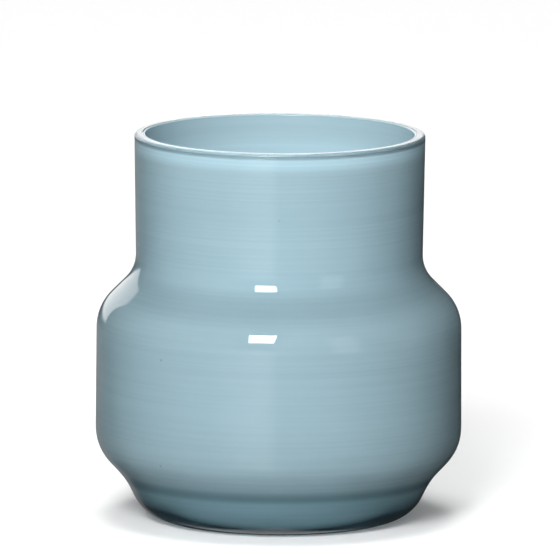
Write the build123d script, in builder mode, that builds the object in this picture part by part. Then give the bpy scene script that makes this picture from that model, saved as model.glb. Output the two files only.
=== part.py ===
# Mouth-blown flower vase in cased glass: a clear casing fused over a thin pale-blue opal lining.
#
# Millimetres, +Z up, origin on the vase's axis in the plane it stands on. Both layers are turned
# about Z from one wall section. The outside is the shape of the mould. The inside follows the
# body and the neck at an even wall thickness, and runs straight down past the crease, so the glass
# is thicker round the foot. The two layers meet face to face all over.

import os
from math import atan2, radians, tan

from build123d import *

# Outside of the vase. A corner is where two straight runs would meet before it is rounded.
height = 148.0
foot_radius = 51.0
crease_radius = 58.8
crease_height = 15.6
body_radius = 70.0
body_draft = 0.3
shoulder_height = 80.7
neck_radius = 54.7
rim_radius = 55.5
underside_slope = 46.7
shoulder_slope = 45.0

# Radii that round those corners, from the table up.
base_rounding = 15.0
crease_rounding = 30.0
body_rounding = 18.6
shoulder_rounding = 18.2
neck_rounding = 14.5

# The two layers of glass, and the floor inside.
casing_thickness = 3.4
lining_thickness = 0.8
floor_height = 7.0
floor_rounding = 20.0

# The rim is cut flat and polished, with its outer and its inner edge rounded off.
rim_rounding = 1.2
mouth_rounding = 0.6

# The underside: a flat ring that meets the table, around a shallow dome.
ring_width = 6.0
dome_height = 2.5

# Corners of the outside, as (radius, height).
foot = Vector(foot_radius, 0)
crease = Vector(crease_radius, crease_height)
body_bottom = Vector(
    body_radius, crease_height + (body_radius - crease_radius) * tan(radians(underside_slope))
)
body_top = Vector(body_radius - body_draft, shoulder_height)
neck_bottom = Vector(
    neck_radius, shoulder_height + (body_top.X - neck_radius) * tan(radians(shoulder_slope))
)
rim_edge = Vector(rim_radius, height)

# The ring ends outside where the base's rounding begins.
foot_turn = atan2(crease_height, crease_radius - foot_radius)
ring_inside = Vector(foot_radius - base_rounding * tan(foot_turn / 2) - ring_width, 0)

# The wall, and where its layers end on the flat of the rim.
wall_thickness = casing_thickness + lining_thickness
neck_run = (rim_edge - neck_bottom).normalized()
seam_on_rim = Vector(rim_radius - casing_thickness / neck_run.Y, height)
rim_inside = Vector(rim_radius - wall_thickness / neck_run.Y, height)


def inset(before, corner, after, depth):
    """The corner moved inward, to lie depth inside both of the runs that meet there."""
    inward_before = (corner - before).normalized().rotate(Axis.Z, 90)
    inward_after = (after - corner).normalized().rotate(Axis.Z, 90)
    return corner + (inward_before + inward_after) * (depth / (1 + inward_before.dot(inward_after)))


def surface_inside(depth, ends, end_radii):
    """Draw the surface that lies depth inside the outside, from its floor on the axis to the last end."""
    to_lining_face = wall_thickness - depth
    floor = floor_height - to_lining_face
    body_corner = inset(crease, body_bottom, body_top, depth)
    shoulder_corner = inset(body_bottom, body_top, neck_bottom, depth)
    neck_corner = inset(body_top, neck_bottom, rim_edge, depth)
    underside_run = (body_bottom - crease).normalized()
    floor_corner = body_corner - underside_run * ((body_corner.Y - floor) / underside_run.Y)
    return FilletPolyline(
        (0, floor),
        floor_corner,
        body_corner,
        shoulder_corner,
        neck_corner,
        *ends,
        radius=[
            floor_rounding + to_lining_face,
            body_rounding - depth,
            shoulder_rounding - depth,
            neck_rounding + depth,
            *end_radii,
        ],
    )


# Clear casing: the outside of the vase, its underside and most of the rim.
with BuildPart() as clear_casing:
    with BuildSketch(Plane.XZ):
        with BuildLine():
            dome = TangentArc((0, dome_height), ring_inside, tangent=(1, 0))
            FilletPolyline(
                ring_inside,
                foot,
                crease,
                body_bottom,
                body_top,
                neck_bottom,
                rim_edge,
                seam_on_rim,
                radius=[
                    base_rounding,
                    crease_rounding,
                    body_rounding,
                    shoulder_rounding,
                    neck_rounding,
                    rim_rounding,
                ],
            )
            seam = surface_inside(casing_thickness, [seam_on_rim], [])
            Line(seam @ 0, dome @ 0)
        make_face()
    revolve(axis=Axis.Z)

# Opal lining: the colour of the vase, a thin even layer over the whole inside.
with BuildPart() as opal_lining:
    with BuildSketch(Plane.XZ):
        with BuildLine():
            seam = surface_inside(casing_thickness, [seam_on_rim], [])
            inside = surface_inside(wall_thickness, [rim_inside, seam_on_rim], [mouth_rounding])
            Line(seam @ 0, inside @ 0)
        make_face()
    revolve(axis=Axis.Z)

clear_casing.part.label = "clear_casing"
opal_lining.part.label = "opal_lining"

os.makedirs("parts", exist_ok=True)
export_step(clear_casing.part, "parts/clear_casing.step")
export_step(opal_lining.part, "parts/opal_lining.step")
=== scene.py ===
# %% [markdown]
# # A mouth-blown flower vase in cased glass
# The real vase is two layers of glass that were fused in the furnace. A thin pale-blue opal lining
# gives it its colour, and a thick clear casing over the lining gives it its depth and its gloss.
# The CAD frame holds both layers at their real size. Here each layer is modelled again as a fine
# smooth mesh with the glass it is made of, and the studio around it is set up as for a catalogue.

# %% Load the frame
from math import atan2, ceil, cos, pi, radians, sin, sqrt, tan

import bpy
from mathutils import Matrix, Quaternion, Vector


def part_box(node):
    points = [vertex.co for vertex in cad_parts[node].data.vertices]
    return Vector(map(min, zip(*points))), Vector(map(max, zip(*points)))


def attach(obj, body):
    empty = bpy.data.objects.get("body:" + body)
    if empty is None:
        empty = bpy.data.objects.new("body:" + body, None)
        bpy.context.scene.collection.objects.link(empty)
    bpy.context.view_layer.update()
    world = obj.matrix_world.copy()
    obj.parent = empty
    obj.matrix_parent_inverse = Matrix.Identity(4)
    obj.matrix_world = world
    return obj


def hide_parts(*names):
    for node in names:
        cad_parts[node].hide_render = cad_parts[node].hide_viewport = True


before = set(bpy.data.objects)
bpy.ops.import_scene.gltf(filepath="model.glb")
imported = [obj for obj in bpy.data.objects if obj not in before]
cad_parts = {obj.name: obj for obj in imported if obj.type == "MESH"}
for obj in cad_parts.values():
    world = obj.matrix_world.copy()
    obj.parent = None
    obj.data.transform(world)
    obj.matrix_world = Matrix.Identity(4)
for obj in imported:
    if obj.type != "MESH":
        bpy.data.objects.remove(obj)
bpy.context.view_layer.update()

# %% [markdown]
# ## The sizes
# A blown vase is a turned form, so its whole shape is one half outline. These are the sizes of that
# outline: four radii, four heights, the slopes of the two cones and the roundings where the runs
# meet. The height is read from the CAD frame, and everything else follows the same values as the
# CAD model, so that the mesh lies exactly on the solid that it replaces.

# %% The sizes of the vase, in metres
mm = 0.001
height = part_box("clear_casing")[1].z
foot_radius = 51.0 * mm
crease_radius = 58.8 * mm
crease_height = 15.6 * mm
body_radius = 70.0 * mm
body_draft = 0.3 * mm
shoulder_height = 80.7 * mm
neck_radius = 54.7 * mm
rim_radius = 55.5 * mm
underside_slope = radians(46.7)
shoulder_slope = radians(45)

base_rounding = 15.0 * mm
crease_rounding = 30.0 * mm
body_rounding = 18.6 * mm
shoulder_rounding = 18.2 * mm
neck_rounding = 14.5 * mm

casing_thickness = 3.4 * mm
lining_thickness = 0.8 * mm
floor_height = 7.0 * mm
floor_rounding = 20.0 * mm
ring_width = 6.0 * mm
dome_height = 2.5 * mm
rim_rounding = 1.2 * mm
mouth_rounding = 0.6 * mm

wall_thickness = casing_thickness + lining_thickness
print("wall, mm:", round(wall_thickness / mm, 2), " height, mm:", round(height / mm, 2))

# %% The corners of the outline
# Each point is (distance from the axis, height).
body_top_radius = body_radius - body_draft
foot = Vector((foot_radius, 0))
crease = Vector((crease_radius, crease_height))
body_bottom = Vector((body_radius, crease_height + (body_radius - crease_radius) * tan(underside_slope)))
body_top = Vector((body_top_radius, shoulder_height))
neck_bottom = Vector((neck_radius, shoulder_height + (body_top_radius - neck_radius) * tan(shoulder_slope)))
rim_edge = Vector((rim_radius, height))

neck_run = (rim_edge - neck_bottom).normalized()
seam_on_rim = Vector((rim_radius - casing_thickness / neck_run.y, height))
rim_inside = Vector((rim_radius - wall_thickness / neck_run.y, height))
print("neck starts at, mm:", round(neck_bottom.y / mm, 1), " mouth, mm:", round(2 * rim_inside.x / mm, 1))

# %% [markdown]
# ## Drawing an outline with rounded corners
# Hot glass never has a sharp corner, so every corner of the outline is an arc that runs smoothly
# into the straight lines on both sides. Two small helpers do this. `inset` moves a corner into the
# wall, because the two layers run parallel to the outside. `rounded` walks along the corners and
# sets points on the straights and, closer together, on the arcs.

# %% Outline helpers
def left_of(run):
    """The direction a quarter turn to the left of a run: into the wall, as the outline climbs."""
    return Vector((-run.y, run.x))


def inset(before, corner, after, depth):
    """The corner moved into the wall, to lie that deep inside both of the runs that meet there."""
    first = left_of((corner - before).normalized())
    second = left_of((after - corner).normalized())
    return corner + (first + second) * (depth / (1 + first.dot(second)))


def along(start, end, step):
    """Points on the straight run from start to end, without its last."""
    count = max(1, ceil((end - start).length / step))
    return [start.lerp(end, i / count) for i in range(count)]


def turned(spoke, angle):
    """The spoke turned by an angle, anticlockwise."""
    return Vector((spoke.x * cos(angle) - spoke.y * sin(angle), spoke.x * sin(angle) + spoke.y * cos(angle)))


def rounded(corners, radii, step, turn):
    """Points along straight runs whose inner corners are rounded by arcs."""
    points = []
    start = corners[0]
    for before, corner, after, radius in zip(corners, corners[1:], corners[2:], radii):
        arriving = (corner - before).normalized()
        leaving = (after - corner).normalized()
        angle = -arriving.angle_signed(leaving, 0)
        reach = radius * tan(abs(angle) / 2)
        begin = corner - arriving * reach
        side = 1 if angle > 0 else -1
        centre = begin + left_of(arriving) * side * radius
        points += along(start, begin, step)
        count = max(2, ceil(abs(angle) / turn))
        points += [centre + turned(begin - centre, angle * i / count) for i in range(count)]
        start = corner + leaving * reach
    return points + along(start, corners[-1], step) + [corners[-1]]


def surface_inside(depth, ends, end_radii, step, turn):
    """The surface that lies that deep inside the outside, from its floor on the axis up to its ends."""
    rise = wall_thickness - depth
    floor = floor_height - rise
    body_corner = inset(crease, body_bottom, body_top, depth)
    shoulder_corner = inset(body_bottom, body_top, neck_bottom, depth)
    neck_corner = inset(body_top, neck_bottom, rim_edge, depth)
    run = (body_bottom - crease).normalized()
    floor_corner = body_corner - run * ((body_corner.y - floor) / run.y)
    corners = [Vector((0, floor)), floor_corner, body_corner, shoulder_corner, neck_corner, *ends]
    radii = [floor_rounding + rise, body_rounding - depth, shoulder_rounding - depth, neck_rounding + depth]
    radii += end_radii
    return rounded(corners, radii, step, turn)


# %% [markdown]
# ## Blowing the form: one outline, spun round
# A glass blower turns the gather in a wet wooden mould, and that is why the form is perfectly round.
# Blender's nearest tool is Spin. The outline could be typed in as a mesh, but here it is drawn as by
# hand: a plane gives the first vertex, Extrude adds the next ones, and Spin takes the chain round
# the axis. The first and last points lie on the axis, so their copies are merged into one pole.

# %% The lathe
def lathe(name, outline, around):
    """Draw an outline from axis to axis one point at a time, then spin it about the axis."""
    patch = 1 * mm
    start = outline[0]
    bpy.ops.object.select_all(action="DESELECT")
    bpy.ops.mesh.primitive_plane_add(size=patch, location=(start.x - patch / 2, -patch / 2, start.y))
    piece = bpy.context.object
    piece.name = name
    piece.data.name = name
    bpy.ops.object.transform_apply(location=True, rotation=True, scale=True)
    bpy.ops.object.mode_set(mode="EDIT")
    bpy.ops.mesh.select_mode(type="VERT")
    bpy.ops.mesh.select_all(action="DESELECT")
    bpy.ops.object.mode_set(mode="OBJECT")
    for vertex in piece.data.vertices:
        vertex.select = (vertex.co - Vector((start.x, 0, start.y))).length > patch / 2
    bpy.ops.object.mode_set(mode="EDIT")
    bpy.ops.mesh.delete(type="VERT")
    bpy.ops.mesh.select_all(action="SELECT")
    for a, b in zip(outline, outline[1:]):
        bpy.ops.mesh.extrude_vertices_move(TRANSFORM_OT_translate={"value": (b.x - a.x, 0, b.y - a.y)})
    bpy.ops.mesh.select_all(action="SELECT")
    bpy.ops.mesh.spin(steps=around, angle=2 * pi, center=(0, 0, 0), axis=(0, 0, 1))
    bpy.ops.mesh.select_all(action="SELECT")
    bpy.ops.mesh.remove_doubles(threshold=0.001 * mm)
    bpy.ops.mesh.normals_make_consistent(inside=False)
    bpy.ops.object.mode_set(mode="OBJECT")
    bpy.ops.object.shade_smooth()
    print(name, "-", len(outline), "outline points,", len(piece.data.polygons), "faces")
    return piece


around = 192

# %% [markdown]
# ## The clear casing
# The casing is the thick outer layer. Its outside is what the mould shaped: foot, crease, body,
# shoulder and neck. Its inside is the seam, where it is fused to the opal. At the top the rim is cut
# flat and polished, and underneath it is ground to a flat ring round a shallow dome, so that the vase
# stands firmly. It is one closed skin, because light has to bend on its way in and on its way out.

# %% The underside: a shallow dome inside the ring that the vase stands on
foot_turn = atan2(crease_height, crease_radius - foot_radius)
ring_inside = foot_radius - base_rounding * tan(foot_turn / 2) - ring_width
dome_radius = (ring_inside**2 + dome_height**2) / (2 * dome_height)
dome_rings = 16
dome = []
for i in range(dome_rings):
    r = ring_inside * i / dome_rings
    dome.append(Vector((r, dome_height - dome_radius + sqrt(dome_radius**2 - r**2))))
print("ring, mm:", round(ring_inside / mm, 2), "to", round((ring_inside + ring_width) / mm, 2))

# %% The casing
outside = rounded(
    [Vector((ring_inside, 0)), foot, crease, body_bottom, body_top, neck_bottom, rim_edge, seam_on_rim],
    [base_rounding, crease_rounding, body_rounding, shoulder_rounding, neck_rounding, rim_rounding],
    step=2 * mm, turn=radians(3))
seam = surface_inside(casing_thickness, [seam_on_rim], [], step=4 * mm, turn=radians(4))
casing = lathe("clear_casing_glass", dome + outside + seam[-2::-1], around)
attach(casing, "root")
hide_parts("clear_casing")

# %% [markdown]
# ## The opal lining
# The lining is the thin blue layer. Its outer face is fused to the casing, so there is no air gap
# and no gloss between the two: that face is set a few hundredths of a millimetre into the casing,
# because two faces in exactly the same place would flicker. Its inner face is the bare inside of the
# vase, which is glossy. The two faces therefore get a material each.

# %% The lining
bond = 0.03 * mm
bond_on_rim = seam_on_rim + Vector((bond, 0))
fused = surface_inside(casing_thickness - bond, [bond_on_rim], [], step=3 * mm, turn=radians(4))
bare = surface_inside(wall_thickness, [rim_inside, bond_on_rim], [mouth_rounding],
                      step=2 * mm, turn=radians(3))
lining = lathe("opal_lining_glass", fused + bare[-2::-1], around)
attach(lining, "root")
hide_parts("opal_lining")

# %% [markdown]
# ## Node helpers
# Glass looks flat and computed when it is the same all over, so its colour and its surface vary a
# little, and that takes many small nodes. The helpers below keep the node code short: `node` adds a
# node and fills or links its inputs in one line, `calc` adds one sum, and `band` makes a soft mask
# between two heights.

# %% Node helpers
def node(tree, kind, inputs=None, **settings):
    """Add a node, set its options, and fill each named input with a value or a link."""
    made = tree.nodes.new(kind)
    for key, value in settings.items():
        setattr(made, key, value)
    for key, value in (inputs or {}).items():
        if isinstance(value, bpy.types.NodeSocket):
            tree.links.new(value, made.inputs[key])
        else:
            made.inputs[key].default_value = value
    return made


def calc(tree, operation, a, b=0.0, c=0.0):
    """The result of one sum."""
    return node(tree, "ShaderNodeMath", {0: a, 1: b, 2: c}, operation=operation).outputs[0]


def smooth_step(tree, value, start, end):
    """0 before the start, 1 after the end, and a soft change between them."""
    ends = {"Value": value, "From Min": start, "From Max": end}
    return node(tree, "ShaderNodeMapRange", ends, interpolation_type="SMOOTHSTEP").outputs[0]


def band(tree, value, start, full, hold, end):
    """1 from full to hold, 0 before the start and after the end, and soft changes between them."""
    return calc(tree, "MULTIPLY", smooth_step(tree, value, start, full), smooth_step(tree, value, end, hold))


def new_group(name, inputs, outputs):
    """An empty shader group, and its input node and its output node. A socket is a number or a colour."""
    tree = bpy.data.node_groups.new(name, "ShaderNodeTree")
    for side, sockets in (("INPUT", inputs), ("OUTPUT", outputs)):
        for socket, value in sockets.items():
            kind = "NodeSocketColor" if isinstance(value, tuple) else "NodeSocketFloat"
            tree.interface.new_socket(socket, in_out=side, socket_type=kind).default_value = value
    return tree, tree.nodes.new("NodeGroupInput"), tree.nodes.new("NodeGroupOutput")


def place_group(tree, group, values):
    """Place a group in a tree and fill or link its inputs."""
    return node(tree, "ShaderNodeGroup", values, node_tree=group).outputs


def place_on_vase(tree):
    """The place of a point of the vase, in metres."""
    return node(tree, "ShaderNodeTexCoord").outputs["Object"]


def height_of(tree, place):
    """The height of a place over the table."""
    return node(tree, "ShaderNodeSeparateXYZ", {0: place}).outputs["Z"]


def distance_from_axis(tree, place):
    """How far a place is from the vase's axis."""
    level = node(tree, "ShaderNodeVectorMath", {0: place, 1: (1, 1, 0)}, operation="MULTIPLY").outputs[0]
    return node(tree, "ShaderNodeVectorMath", {0: level}, operation="LENGTH").outputs["Value"]


def new_material(name):
    """A material with its node tree and its Principled shader."""
    material = bpy.data.materials.new(name)
    material.use_nodes = True
    return material, material.node_tree, material.node_tree.nodes["Principled BSDF"]


# %% [markdown]
# ## What the mould leaves in the glass
# As the gather turns in the wet mould, it picks up fine level rings, like the grooves of a record,
# and the opal stretches into faint cloudy bands. Both are noise that is squeezed in height and drawn
# out sideways. Both layers need it, so it is one group: Rings is the fine grooving, Clouds the slow
# drift, and Specks a few tiny dark grains that didn't melt.

# %% The group of furnace marks
marks, marks_in, marks_out = new_group(
    "furnace_marks", {"Rings per metre": 900.0, "Specks per metre": 70.0},
    {"Rings": 0.0, "Clouds": 0.0, "Specks": 0.0})
place = place_on_vase(marks)
across_scale = node(marks, "ShaderNodeCombineXYZ", {0: 7.0, 1: 7.0, 2: marks_in.outputs["Rings per metre"]})
squeezed = node(marks, "ShaderNodeVectorMath", {0: place, 1: across_scale.outputs[0]}, operation="MULTIPLY")
rings = node(marks, "ShaderNodeTexNoise", {"Vector": squeezed.outputs[0], "Scale": 1.0, "Detail": 3.0,
                                           "Roughness": 0.6})
wide = node(marks, "ShaderNodeMapping", {"Vector": place, "Scale": (14.0, 14.0, 60.0)})
clouds = node(marks, "ShaderNodeTexNoise", {"Vector": wide.outputs[0], "Scale": 1.0, "Detail": 4.0,
                                            "Roughness": 0.55, "Distortion": 0.4})
cells = node(marks, "ShaderNodeTexVoronoi", {"Vector": place, "Scale": marks_in.outputs["Specks per metre"],
                                             "Randomness": 1.0})
picked = node(marks, "ShaderNodeSeparateColor", {0: cells.outputs["Color"]})
near = smooth_step(marks, cells.outputs["Distance"], 0.05, 0.02)
rare = smooth_step(marks, picked.outputs[0], 0.90, 0.92)
marks.links.new(rings.outputs["Fac"], marks_out.inputs["Rings"])
marks.links.new(clouds.outputs["Fac"], marks_out.inputs["Clouds"])
marks.links.new(calc(marks, "MULTIPLY", near, rare), marks_out.inputs["Specks"])
print("furnace marks:", len(marks.nodes), "nodes")

# %% [markdown]
# ## Clear glass
# Clear glass is a Principled shader with full transmission and a refractive index of 1.5. The mould's
# rings become a very slight bump, just enough to make a reflection shiver. The glass is bright from
# the fire all over, apart from the cut edge of the rim, which is a little softer, and the ring that it
# stands on, which is ground and scuffed. Thick clear glass looks dark where light that enters leaves
# another way; here two such places are painted shade in the glass's colour: the line below the rim's
# edge, and the foot seen from the side.

# %% The clear glass and its surface
glass, tree, shader = new_material("clear_glass")
shader.inputs["Transmission Weight"].default_value = 1
shader.inputs["IOR"].default_value = 1.5
found = place_group(tree, marks, {"Rings per metre": 700.0})
place = place_on_vase(tree)
up = height_of(tree, place)
from_axis = distance_from_axis(tree, place)
grain = node(tree, "ShaderNodeTexNoise", {"Vector": place, "Scale": 2500.0, "Detail": 2.0}).outputs["Fac"]
ground = smooth_step(tree, up, 0.35 * mm, 0.05 * mm)
cut_edge = calc(tree, "MULTIPLY",
                smooth_step(tree, up, height - 1.3 * mm, height - 0.9 * mm),
                smooth_step(tree, from_axis, rim_radius - 1.4 * mm, rim_radius - 1.0 * mm))
scuffed = calc(tree, "MULTIPLY", ground, calc(tree, "MULTIPLY_ADD", grain, 0.3, 0.3))
tree.links.new(calc(tree, "MULTIPLY_ADD", cut_edge, 0.3, scuffed), shader.inputs["Roughness"])
ripple = calc(tree, "MULTIPLY_ADD", found["Rings"], 0.35, found["Clouds"])
bump = node(tree, "ShaderNodeBump", {"Height": ripple, "Distance": 0.02 * mm, "Strength": 0.5})
tree.links.new(bump.outputs["Normal"], shader.inputs["Normal"])

# %% The painted shade of the clear glass: the line below the rim and the foot
# painted shade: a dark line tinted into the glass's colour just below the rim's outer edge
rim_line_painted_shade = calc(tree, "MULTIPLY",
             band(tree, up, height - 2.7 * mm, height - 1.8 * mm, height - 1.2 * mm, height - 0.7 * mm),
             smooth_step(tree, from_axis, rim_radius - 0.9 * mm, rim_radius - 0.7 * mm))
# painted shade: the foot is darkened in the glass's colour where its surface turns away from the view
away = node(tree, "ShaderNodeLayerWeight", {"Blend": 0.5}).outputs["Facing"]
foot_shade = calc(tree, "MULTIPLY", smooth_step(tree, up, 14.0 * mm, 6.0 * mm),
                  smooth_step(tree, away, 0.30, 0.56))
tint = node(tree, "ShaderNodeMix", {"Factor": rim_line_painted_shade}, data_type="RGBA")
tint.inputs[6].default_value = (0.985, 0.995, 0.99, 1)
# the colour of the painted dark line below the rim
tint.inputs[7].default_value = (0.42, 0.46, 0.47, 1)
shaded = node(tree, "ShaderNodeMix", {"Factor": foot_shade, 6: tint.outputs[2]}, data_type="RGBA")
# the colour of the painted shade on the foot
shaded.inputs[7].default_value = (0.03, 0.045, 0.055, 1)
tree.links.new(shaded.outputs[2], shader.inputs["Base Color"])
casing.data.materials.append(glass)

# %% [markdown]
# ## Opal glass
# Opal glass is milky: tiny crystals scatter the light inside it, so it looks like smooth china. An
# opaque shader with a slightly uneven colour is enough, since the layer is dense. Under the casing a
# part of the light is thrown back from the clear glass onto the opal and loses strength each time,
# so the fused face needs a lighter colour than the bare face to look the same. Both faces take their
# colour from one group: it drifts between a deep and a pale blue with the furnace marks, turns darker
# and bluer towards the foot, and carries painted shade on the lower body, the shoulder slope, the
# crease and the rim's edge, and painted light just under the rim and deeper inside the mouth.

# %% The group of the opal's colour
opal, opal_in, opal_out = new_group(
    "opal_colour",
    {"Rings": 0.5, "Clouds": 0.5, "Specks": 0.0, "Painted light under rim": 0.0, "Depth": 0.0,
     "Deep": (0.4, 0.55, 0.62, 1.0), "Pale": (0.45, 0.6, 0.67, 1.0)},
    {"Color": (0.4, 0.6, 0.65, 1.0)})
up = height_of(opal, place_on_vase(opal))
get = opal_in.outputs
# painted shade: the body below the shoulder is darker than the neck
strength = calc(opal, "MULTIPLY_ADD", smooth_step(opal, up, 98 * mm, 72 * mm), -0.07, 0.97)
# painted light: a lighter band of the opal a few millimetres under the rim
under_rim_light_band = band(opal, up, height - 9.0 * mm, height - 4.2 * mm, height - 3.2 * mm, height - 2.0 * mm)
for mask, change in (
    (smooth_step(opal, up, 48 * mm, 32 * mm), -0.06),  # painted shade low on the body
    (band(opal, up, 82 * mm, 88 * mm, 91 * mm, 96 * mm), -0.07),  # painted shade on the slope of the shoulder
    (band(opal, up, 14.0 * mm, 17.0 * mm, 17.5 * mm, 21.5 * mm), -0.34),  # painted shade in the crease
    # painted light under the rim
    (under_rim_light_band, get["Painted light under rim"]),
    (smooth_step(opal, up, height - 1.0 * mm, height - 0.4 * mm), -0.12),  # painted shade at the edge of the rim
    # painted light: the bare inside is lighter further down from the rim, by Depth
    (smooth_step(opal, up, height - 4.0 * mm, height - 14.0 * mm), get["Depth"]),
):
    strength = calc(opal, "MULTIPLY", strength, calc(opal, "MULTIPLY_ADD", mask, change, 1.0))
drift = calc(opal, "MULTIPLY_ADD", get["Rings"], 0.65, calc(opal, "MULTIPLY", get["Clouds"], 0.35))
tint = node(opal, "ShaderNodeMix", {"Factor": smooth_step(opal, drift, 0.25, 0.75),
                                    6: get["Deep"], 7: get["Pale"]}, data_type="RGBA")
# the opal turns darker and bluer towards the foot
foot_tint = node(opal, "ShaderNodeMix", {"Factor": smooth_step(opal, up, 24 * mm, 15 * mm)}, data_type="RGBA")
foot_tint.inputs[6].default_value = (1, 1, 1, 1)
foot_tint.inputs[7].default_value = (0.74, 0.90, 0.945, 1)
deeper = node(opal, "ShaderNodeVectorMath", {0: tint.outputs[2], 1: foot_tint.outputs[2]},
              operation="MULTIPLY")
layered = node(opal, "ShaderNodeVectorMath", {0: deeper.outputs[0], "Scale": strength}, operation="SCALE")
grains = node(opal, "ShaderNodeMix", {"Factor": calc(opal, "MULTIPLY", get["Specks"], 0.35),
                                      6: layered.outputs[0]}, data_type="RGBA")
grains.inputs[7].default_value = (0.05, 0.08, 0.10, 1)
opal.links.new(grains.outputs[2], opal_out.inputs["Color"])
print("opal colour:", len(opal.nodes), "nodes")


# %% The fused face and the bare face
def colour_opal(tree, shader, rings_per_metre, values):
    """Give a material the furnace marks and the opal's colour, and return the marks."""
    found = place_group(tree, marks, {"Rings per metre": rings_per_metre})
    taken = {mark: found[mark] for mark in ("Rings", "Clouds", "Specks")}
    tree.links.new(place_group(tree, opal, {**taken, **values})["Color"], shader.inputs["Base Color"])
    return found


fused_opal, tree, shader = new_material("opal_fused")
# the fused face carries the painted light under the rim
colour_opal(tree, shader, 1300.0, {"Painted light under rim": 0.31, "Depth": 0.0, "Deep": (0.427, 0.594, 0.669, 1),
                                   "Pale": (0.478, 0.656, 0.726, 1)})
shader.inputs["Roughness"].default_value = 0.6
shader.inputs["Specular IOR Level"].default_value = 0.0

bare_opal, tree, shader = new_material("opal_bare")
# Depth gives the bare face painted light deeper inside the mouth
found = colour_opal(tree, shader, 900.0, {"Painted light under rim": 0.0, "Depth": 0.16, "Deep": (0.38, 0.535, 0.60, 1),
                                          "Pale": (0.415, 0.585, 0.655, 1)})
shader.inputs["Roughness"].default_value = 0.22
bump = node(tree, "ShaderNodeBump", {"Height": found["Clouds"], "Distance": 0.05 * mm, "Strength": 0.6})
tree.links.new(bump.outputs["Normal"], shader.inputs["Normal"])

lining.data.materials.append(fused_opal)
lining.data.materials.append(bare_opal)


def is_bare(face):
    """True for a face of the inside, whose normal looks to the axis or up from the floor."""
    out = Vector((face.center.x, face.center.y, 0))
    if face.center.z < floor_height + 0.5 * mm and out.length < foot_radius * 0.6:
        return face.normal.z > 0
    return face.normal.dot(out.normalized()) < 0.02 or face.center.z > height - mouth_rounding / 2


for face in lining.data.polygons:
    face.material_index = 1 if is_bare(face) else 0
print("bare faces:", sum(f.material_index for f in lining.data.polygons), "of", len(lining.data.polygons))

# %% [markdown]
# ## The studio
# Glass has no look of its own: it shows the room. So the room is drawn with care, once, as soft-edged
# panels in the world shader, each one a patch of the sky sphere given by its edges in degrees.
# Azimuth 0 is where the camera stands, and it grows to the camera's right. Lamps and cards
# would do as well, but a panel in the world has no noise and no edge that catches the eye.

# %% The group that draws one soft panel
panel, panel_in, panel_out = new_group(
    "soft_panel",
    {"Left": -20.0, "Left blur": 1.0, "Right": 20.0, "Right blur": 1.0,
     "Low": -20.0, "Low blur": 1.0, "High": 20.0, "High blur": 1.0, "Radiance": 1.0}, {"Glow": 0.0})
ray = node(panel, "ShaderNodeTexCoord").outputs["Generated"]
ray = node(panel, "ShaderNodeVectorMath", {0: ray}, operation="NORMALIZE").outputs[0]
ray = node(panel, "ShaderNodeSeparateXYZ", {0: ray}).outputs
azimuth = calc(panel, "DEGREES", calc(panel, "ARCTAN2", ray["X"], calc(panel, "MULTIPLY", ray["Y"], -1.0)))
elevation = calc(panel, "DEGREES", calc(panel, "ARCSINE", ray["Z"]))
get = panel_in.outputs
middle = calc(panel, "MULTIPLY", calc(panel, "ADD", get["Left"], get["Right"]), 0.5)
offset = calc(panel, "WRAP", calc(panel, "SUBTRACT", azimuth, middle), 180.0, -180.0)
azimuth = calc(panel, "ADD", offset, middle)
glow = get["Radiance"]
for edge, side, where in (("Left", 1.0, azimuth), ("Right", -1.0, azimuth),
                          ("Low", 1.0, elevation), ("High", -1.0, elevation)):
    blur = calc(panel, "MULTIPLY", get[edge + " blur"], side)
    start = calc(panel, "SUBTRACT", get[edge], blur)
    end = calc(panel, "ADD", get[edge], blur)
    glow = calc(panel, "MULTIPLY", glow, smooth_step(panel, where, start, end))
panel.links.new(glow, panel_out.inputs["Glow"])

# %% [markdown]
# ## The world
# Three sets of panels, one for each way that light meets the vase. The open sky lights the floor and
# the bare inside. The gloss is what the polished surface mirrors. The glow lights the opal through
# the casing. A Light Path node tells them apart, and the camera itself sees plain white.

# %% The world
world = bpy.data.worlds.new("studio")
bpy.context.scene.world = world
world.use_nodes = True
sky = world.node_tree
background = sky.nodes["Background"]


def panels(base, rows):
    """The sum of an even glow and of soft panels: (left, right, low, high), the four blurs, radiance."""
    total = base
    for (left, right, low, high), (left_blur, right_blur, low_blur, high_blur), radiance in rows:
        placed = place_group(sky, panel, {
            "Left": left, "Left blur": left_blur, "Right": right, "Right blur": right_blur,
            "Low": low, "Low blur": low_blur, "High": high, "High blur": high_blur, "Radiance": radiance})
        total = calc(sky, "ADD", placed["Glow"], total)
    return total


open_sky = panels(0.07, [
    ((-180, 180, 55, 95), (1, 1, 20, 1), 0.42),             # the light ceiling
    ((-180, 180, 76, 95), (1, 1, 4, 1), 8.0),               # the lamp straight above
    ((-38, 14, 2, 48), (6, 6, 6, 6), 1.9),                  # the pale wall round the window
])
gloss = panels(0.02, [
    ((-189, -144, 0, 95), (2, 1.5, 2, 1), 1.65),            # the white backdrop, behind and to the left
    ((-174, -146, -22, -6), (3, 18, 5, 2), 0.26),           # the bench below it
    ((-192, -163, -82, -36), (5, 5, 5, 5), 0.7),            # the table that shows in the foot
    ((-30, -3, -45, 4), (20, 5, 10, 6), 0.9),               # the card in front, to the left
    ((34, 52, -5, 30), (5, 5, 5, 5), 1.1),                  # a pale wall on the right
])
glow = panels(0.03, [
    ((-180, 180, -10, 95), (1, 1, 12, 1), 0.06),            # the pale room
    ((-32, 16, -26, 28), (6, 6, 6, 6), 5.35),               # the big softbox in front
    ((150, 200, 0, 50), (10, 10, 8, 8), 3.9),               # the softbox behind
])
path = node(sky, "ShaderNodeLightPath").outputs
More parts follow.
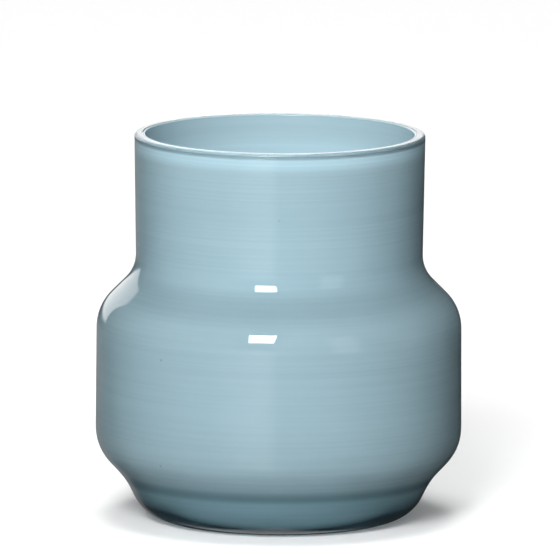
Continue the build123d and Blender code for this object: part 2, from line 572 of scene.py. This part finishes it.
light = calc(sky, "MULTIPLY_ADD", path["Is Glossy Ray"], calc(sky, "SUBTRACT", gloss, open_sky), open_sky)
light = node(sky, "ShaderNodeMix", {"Factor": path["Is Transmission Ray"], "A": light, "B": glow})
light = node(sky, "ShaderNodeMix", {"Factor": path["Is Camera Ray"], "A": light.outputs[0], "B": 0.95})
sky.links.new(light.outputs[0], background.inputs["Strength"])
background.inputs["Color"].default_value = (1, 1, 1, 1)
print("world:", len(sky.nodes), "nodes")

# %% [markdown]
# ## The window
# The two small white marks on the shoulder and the body are one bright window, mirrored twice. A
# real mark like this needs a real light, so it is an area light of the window's size and distance.
# It also lights the inside of the vase and throws the soft shadow. Transmission is off, since the
# opal under the casing has its own soft light.

# %% The window
window_azimuth, window_elevation = -11.3, 30.7
window_distance = 2.0
window_radiance = 26.0
window_width, window_height = 0.54, 0.64


def toward(azimuth, elevation):
    """The direction from the vase to a place in the room."""
    a, e = radians(azimuth), radians(elevation)
    return Vector((sin(a) * cos(e), -cos(a) * cos(e), sin(e)))


bpy.ops.object.light_add(type="AREA")
window = bpy.context.object
window.name = "window"
window.data.shape = "RECTANGLE"
window.data.size = window_width
window.data.size_y = window_height
window.data.energy = window_radiance * pi * window_width * window_height
window.location = Vector((0, 0, 0.08)) + toward(window_azimuth, window_elevation) * window_distance
window.rotation_mode = "QUATERNION"
window.rotation_quaternion = toward(window_azimuth, window_elevation).to_track_quat("Z", "Y")
window.visible_transmission = False
print("window, watts:", round(window.data.energy, 1))

# %% [markdown]
# ## The floor
# A plain pale sheet, big enough to fill the view. It glows a little, like a lit table under
# glassware. Light that leaves the opal passes through it, so that the vase isn't lit from below.

# %% The floor
bpy.ops.mesh.primitive_plane_add(size=12, location=(0, 0, 0))
floor = bpy.context.object
floor.name = "floor"
pale, tree, shader = new_material("pale_floor")
shader.inputs["Base Color"].default_value = (0.95, 0.95, 0.95, 1)
shader.inputs["Roughness"].default_value = 0.9
shader.inputs["Specular IOR Level"].default_value = 0.0
shader.inputs["Emission Color"].default_value = (1, 1, 1, 1)
shader.inputs["Emission Strength"].default_value = 0.12
path = node(tree, "ShaderNodeLightPath").outputs
scattered = calc(tree, "GREATER_THAN", path["Diffuse Depth"], 0.5)
from_opal = calc(tree, "MULTIPLY", path["Is Transmission Ray"], scattered)
through = node(tree, "ShaderNodeBsdfTransparent")
either = node(tree, "ShaderNodeMixShader", {0: from_opal, 1: shader.outputs[0], 2: through.outputs[0]})
tree.links.new(either.outputs[0], tree.nodes["Material Output"].inputs["Surface"])
floor.data.materials.append(pale)
floor.visible_glossy = False

# %% [markdown]
# ## The camera
# A long lens from five metres away keeps the sides of the vase nearly parallel. It looks down by
# nine degrees, so that the mouth opens as a flat oval and the rim shows its thickness.

# %% The camera
bpy.ops.object.camera_add()
camera = bpy.context.object
camera.name = "camera"
bpy.context.scene.camera = camera
camera.data.sensor_width = 36
camera.data.lens = 824
camera.data.clip_end = 50
camera_distance, camera_elevation = 4.9, 9.17
aim = Vector((0.3 * mm, 0, 91.4 * mm))
camera.location = Vector((0, 0, 70 * mm)) + toward(0, camera_elevation) * camera_distance
camera.rotation_mode = "QUATERNION"
look = (camera.location - aim).normalized().to_track_quat("Z", "Y")
lean = radians(0.29)
camera.rotation_quaternion = look @ Quaternion((0, 0, 1), lean)
print("camera at, m:", [round(v, 3) for v in camera.location])
bpy.context.scene.view_settings.view_transform = "Standard"
